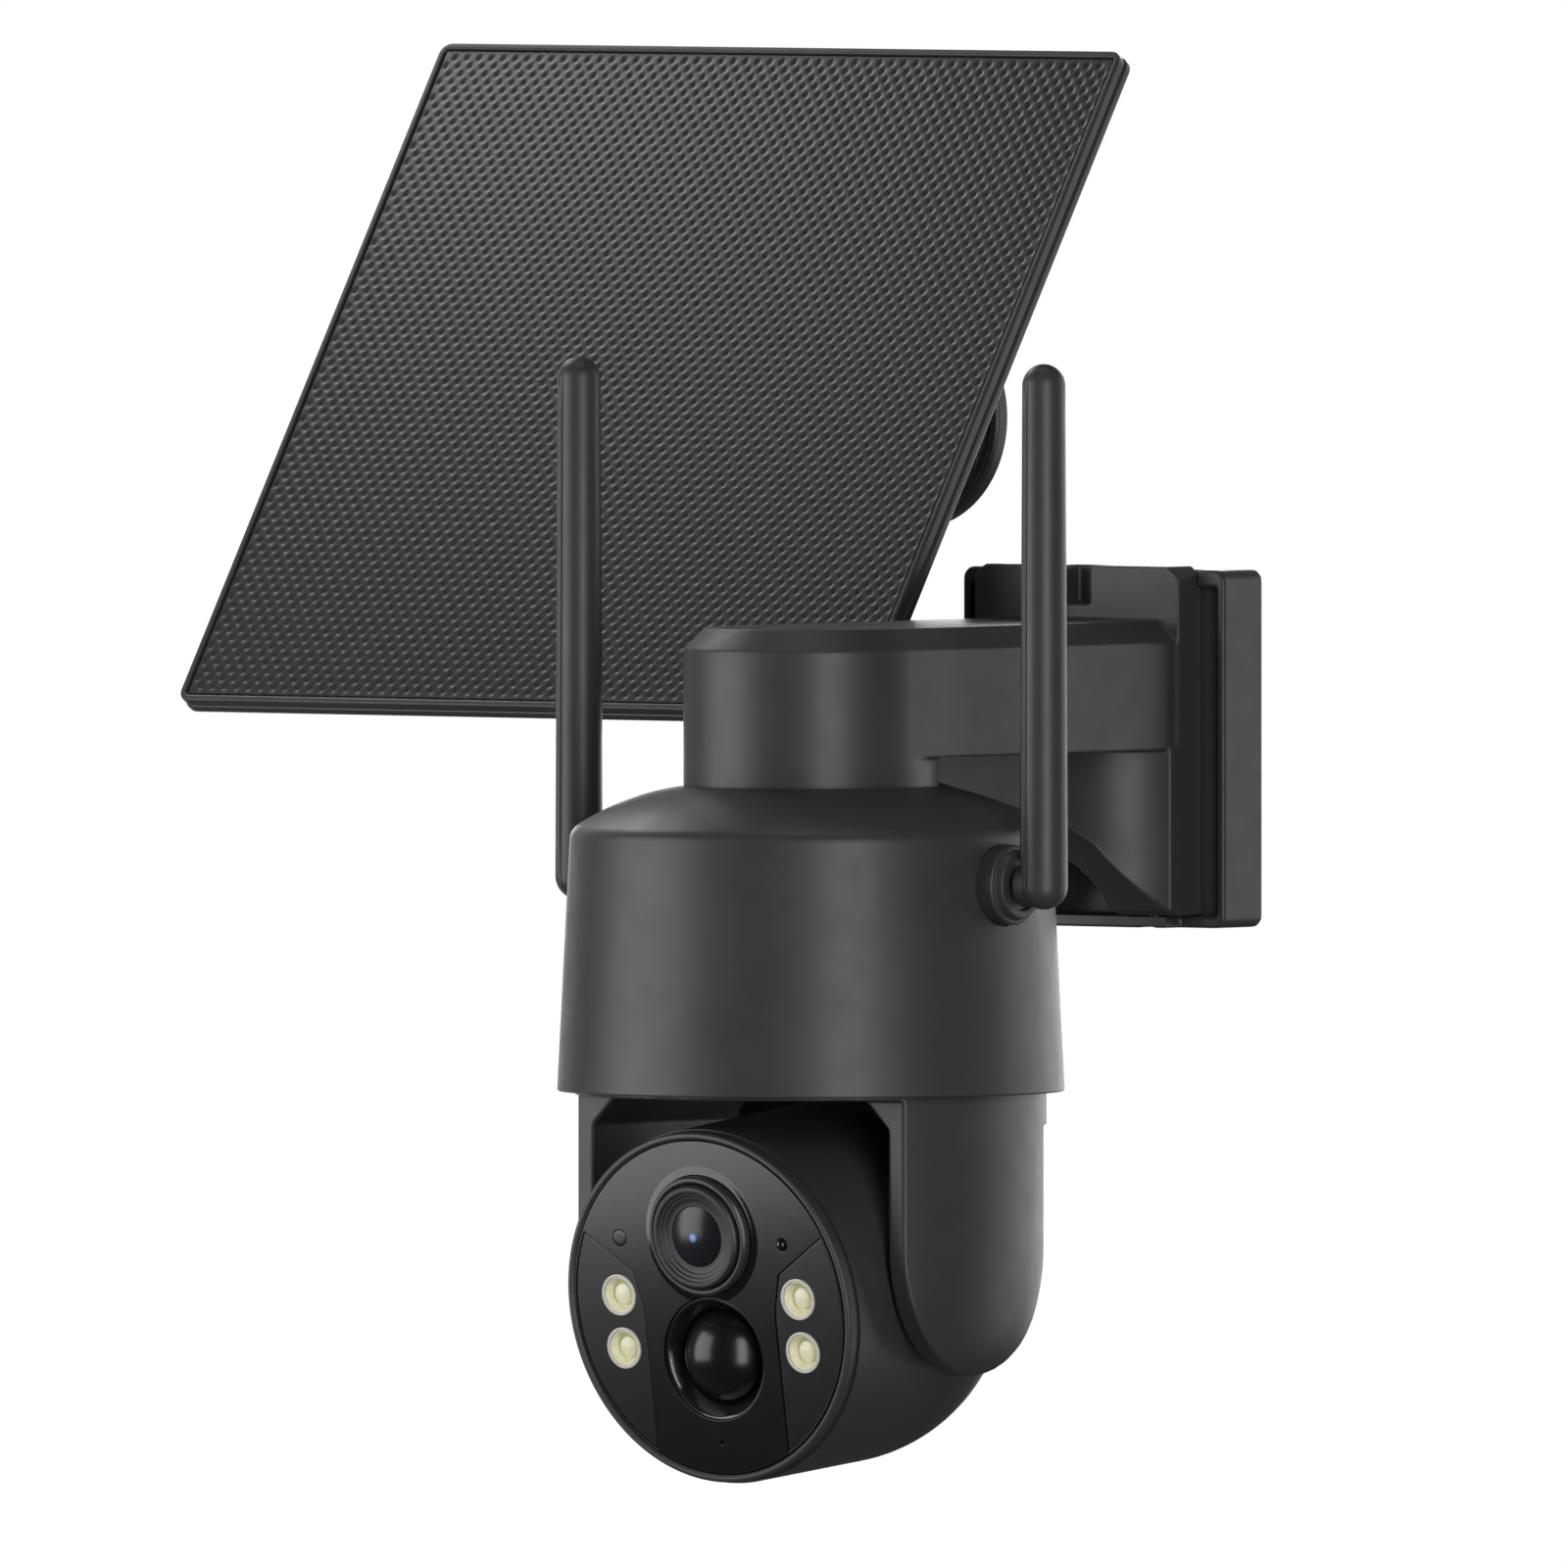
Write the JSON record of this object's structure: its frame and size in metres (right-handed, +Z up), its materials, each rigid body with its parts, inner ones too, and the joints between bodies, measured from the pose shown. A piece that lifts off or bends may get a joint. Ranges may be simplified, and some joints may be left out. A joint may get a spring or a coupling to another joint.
{
  "type": "outdoor pan and tilt security camera with solar panel",
  "caption": "Wall-mounted pan and tilt security camera with a round face, two folding antennas, a domed battery housing on a bracket arm, and a tilting solar panel on its own wall base.",
  "frame": {"origin": "centre of the wall plate's back face, on the wall", "axes": "+Z up, +Y into the wall, the camera looks along -Y"},
  "size_m": [0.2881, 0.2091, 0.3083],
  "materials": {
    "black_shell": "satin moulded plastic",
    "black_dark": "fine matt moulded plastic",
    "rubber": "matt",
    "steel": "satin",
    "nylon": "natural nylon",
    "board": "solder mask",
    "chips": "moulded packages and cans",
    "battery_wrap": "shrink sleeve",
    "face_gloss": "polished",
    "led_cover": "smoked",
    "led_lens": "frosted pale lens",
    "led_chip": "phosphor",
    "lens_black": "ribbed matt black",
    "lens_ring": "satin ring",
    "lens_glass": "coated glass",
    "pir_lens": "polished infrared lens",
    "panel_frame": "matt",
    "solar_cell": "silicon",
    "panel_laminate": "dimpled laminate"
  },
  "bodies": {
    "mount": {"wall_plate": "black_shell", "bracket_arm": "black_shell", "bracket_lock_screws": "steel", "neck_gasket": "rubber", "housing_shell": "black_shell", "housing_screws": "steel", "antenna_bosses": "black_shell", "charge_port": "steel", "port_cover": "rubber", "main_board": "board", "board_parts": "chips", "battery_cells": "battery_wrap", "battery_tray": "black_dark", "chassis_plate": "black_dark", "pan_motor": "steel", "pan_bearing": "steel", "panel_base": "panel_frame", "panel_base_pin": "steel"},
    "pan_drive": {"pan_pinion": "nylon"},
    "yoke": {"yoke_frame": "black_shell", "pan_gear": "nylon", "pan_retainer": "steel", "tilt_shafts": "steel", "tilt_gear": "nylon"},
    "head": {"head_shell": "black_shell", "head_seal": "rubber", "head_bezel": "black_dark", "face_panel": "face_gloss", "led_covers": "led_cover", "led_lenses": "led_lens", "led_chips": "led_chip", "front_board": "board", "board_screws": "steel", "lens_barrel": "lens_black", "lens_trim_ring": "lens_ring", "lens_glass": "lens_glass", "image_sensor": "board", "pir_cup": "face_gloss", "pir_dome": "pir_lens", "pir_sensor": "steel", "light_sensor": "face_gloss", "status_light": "led_cover", "microphone": "steel", "speaker": "black_dark", "service_cover": "black_shell", "card_socket": "steel", "tilt_bushings": "nylon", "tilt_motor": "steel"},
    "tilt_drive": {"tilt_pinion": "nylon"},
    "reset": {"reset_button": "rubber"},
    "antenna_l": {"antenna_left": "black_shell"},
    "antenna_r": {"antenna_right": "black_shell"},
    "panel_link": {"panel_arm": "panel_frame"},
    "panel": {"panel_knuckle": "panel_frame", "panel_hinge_bolt": "steel", "panel_frame": "panel_frame", "panel_back": "black_dark", "solar_cells": "solar_cell", "panel_glass": "panel_laminate"}
  },
  "joints": [
    {"name": "yoke_pan", "type": "hinge", "parent": "mount", "child": "yoke", "pos_m": [0, -0.114, -0.07], "axis": [0, 0, 1], "range_deg": [-170, 170]},
    {"name": "pan_pinion_spin", "type": "hinge", "parent": "mount", "child": "pan_drive", "pos_m": [0, -0.0865, -0.067], "axis": [0, 0, 1], "range_deg": [-681, 681]},
    {"name": "head_tilt", "type": "hinge", "parent": "yoke", "child": "head", "pos_m": [0, -0.1085, -0.1145], "axis": [1, 0, 0], "range_deg": [-5, 78]},
    {"name": "tilt_pinion_spin", "type": "hinge", "parent": "head", "child": "tilt_drive", "pos_m": [0, -0.12039, -0.12521], "axis": [1, 0, 0], "range_deg": [-16, 235]},
    {"name": "reset_press", "type": "slide", "parent": "head", "child": "reset", "axis": [0, -0.1045, 0.9945], "range_m": [0, 0.0006], "stiffness_N_per_m": 400},
    {"name": "antenna_left_fold", "type": "hinge", "parent": "mount", "child": "antenna_l", "pos_m": [-0.064, -0.114, -0.027], "axis": [1, 0, 0], "range_deg": [-35, 90]},
    {"name": "antenna_right_fold", "type": "hinge", "parent": "mount", "child": "antenna_r", "pos_m": [0.064, -0.114, -0.027], "axis": [1, 0, 0], "range_deg": [-35, 90]},
    {"name": "panel_swivel", "type": "hinge", "parent": "mount", "child": "panel_link", "pos_m": [-0.09, 0.04, 0.0702], "axis": [0, 1, 0], "range_deg": [0, 20]},
    {"name": "panel_tilt", "type": "hinge", "parent": "panel_link", "child": "panel", "pos_m": [-0.1239, 0.00256, 0.06924], "axis": [1, 0, 0], "range_deg": [0, 22]}
  ],
  "couplings": [
    {"joint": "pan_pinion_spin", "follows": "yoke_pan", "ratio": -4},
    {"joint": "tilt_pinion_spin", "follows": "head_tilt", "ratio": 3}
  ]
}
